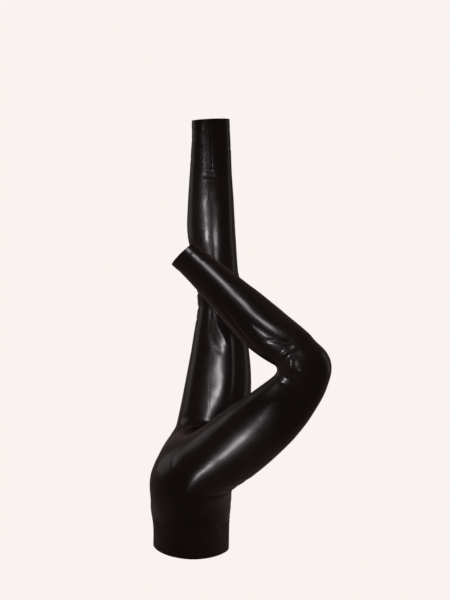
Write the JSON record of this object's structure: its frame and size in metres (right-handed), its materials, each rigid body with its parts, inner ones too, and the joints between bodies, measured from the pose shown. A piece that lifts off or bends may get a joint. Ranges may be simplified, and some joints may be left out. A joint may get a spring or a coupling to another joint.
{
  "type": "leggings, worn shape held upside down by the waist",
  "caption": "High-waisted ankle leggings in glossy black faux leather, filled out and upside down, one leg straight up and one knee bent.",
  "frame": {"origin": "centre of the waist opening, at the hem of the waistband", "axes": "+Z from the waist opening towards the feet, +X to the wearer's front, +Y to the wearer's right"},
  "size_m": [0.3874, 0.5297, 0.9835],
  "materials": {
    "leg_leather": "gloss",
    "band_leather": "gloss"
  },
  "bodies": {
    "root": {"waistband": "band_leather", "left_leg": "leg_leather", "right_leg": "leg_leather"}
  },
  "joints": []
}
